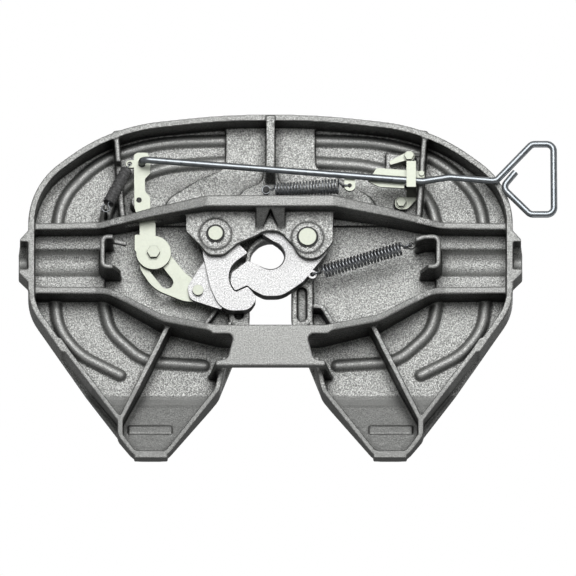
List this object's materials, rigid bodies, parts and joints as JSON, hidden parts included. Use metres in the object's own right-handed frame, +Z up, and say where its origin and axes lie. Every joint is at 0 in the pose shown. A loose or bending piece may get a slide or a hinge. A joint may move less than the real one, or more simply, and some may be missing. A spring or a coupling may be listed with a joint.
{
  "type": "fifth wheel hitch",
  "caption": "Cast coupling top plate with kingpin throat, jaw and hook lock, pull handle and release linkage.",
  "frame": {"origin": "where the kingpin axis crosses the load face; the middle of the lock bore", "axes": "+X towards the pull handle, +Y to the rear of the vehicle where the throat opens, +Z up out of the load face"},
  "size_m": [1.0183, 0.675, 0.115],
  "materials": {
    "cast_iron": "raw casting",
    "forged_steel": "cleaned forging",
    "pin_steel": "machined",
    "zinc_steel": "pale zinc plate",
    "bar_steel": "drawn bar",
    "spring_steel": "oiled spring wire",
    "black_oxide": "black oxide",
    "rubber": "matte"
  },
  "bodies": {
    "casting": {"top_plate": "cast_iron", "jaw_pin": "pin_steel", "hook_pin": "pin_steel", "jaw_pin_ring": "black_oxide", "hook_pin_ring": "black_oxide", "lever_pivot_pin": "black_oxide", "guide_plate": "zinc_steel", "guide_screw": "zinc_steel", "guide_strap": "zinc_steel", "guide_bolts": "zinc_steel", "guide_washers": "zinc_steel", "spring_post": "black_oxide"},
    "jaw": {"lock_jaw": "forged_steel", "jaw_spring": "spring_steel"},
    "hook": {"locking_hook": "forged_steel", "ear_pin": "pin_steel", "ear_pin_ring": "black_oxide"},
    "link": {"slotted_link": "zinc_steel"},
    "lever": {"release_lever": "zinc_steel", "drive_bolt": "zinc_steel", "drive_roller": "pin_steel", "drive_washer": "pin_steel", "drive_nut": "zinc_steel", "lever_spring": "spring_steel", "spring_sleeve": "rubber"},
    "handle": {"pull_handle": "bar_steel", "handle_spring_hook": "zinc_steel", "handle_spring": "spring_steel"},
    "latch": {"latch_pawl": "zinc_steel"}
  },
  "joints": [
    {"name": "handle_pull", "type": "slide", "parent": "casting", "child": "handle", "axis": [0.9967, 0.0809, 0], "range_m": [0, 0.021], "deforming": ["handle_spring"]},
    {"name": "lever_swing", "type": "hinge", "parent": "casting", "child": "lever", "pos_m": [-0.2485, -0.11, -0.057], "axis": [0, 0, 1], "range_deg": [0, 16], "deforming": ["lever_spring", "spring_sleeve"]},
    {"name": "hook_swing", "type": "hinge", "parent": "casting", "child": "hook", "pos_m": [-0.104, -0.038, -0.05], "axis": [0, 0, 1], "range_deg": [0, 16]},
    {"name": "link_swing", "type": "hinge", "parent": "hook", "child": "link", "pos_m": [-0.137, 0.068, -0.047], "axis": [0, 0, 1], "range_deg": [-16, 0]},
    {"name": "jaw_play", "type": "hinge", "parent": "casting", "child": "jaw", "pos_m": [0.07, -0.031, -0.05], "axis": [0, 0, 1], "range_deg": [-0.6, 0.6], "deforming": ["jaw_spring"]},
    {"name": "latch_swing", "type": "hinge", "parent": "casting", "child": "latch", "pos_m": [0.262, -0.196, -0.049], "axis": [0, 0, 1], "range_deg": [-10, 20]}
  ],
  "couplings": [
    {"joint": "lever_swing", "follows": "handle_pull", "rad_per_m": 13.298},
    {"joint": "hook_swing", "follows": "handle_pull", "rad_per_m": 13.298},
    {"joint": "link_swing", "follows": "handle_pull", "rad_per_m": -13.298}
  ]
}
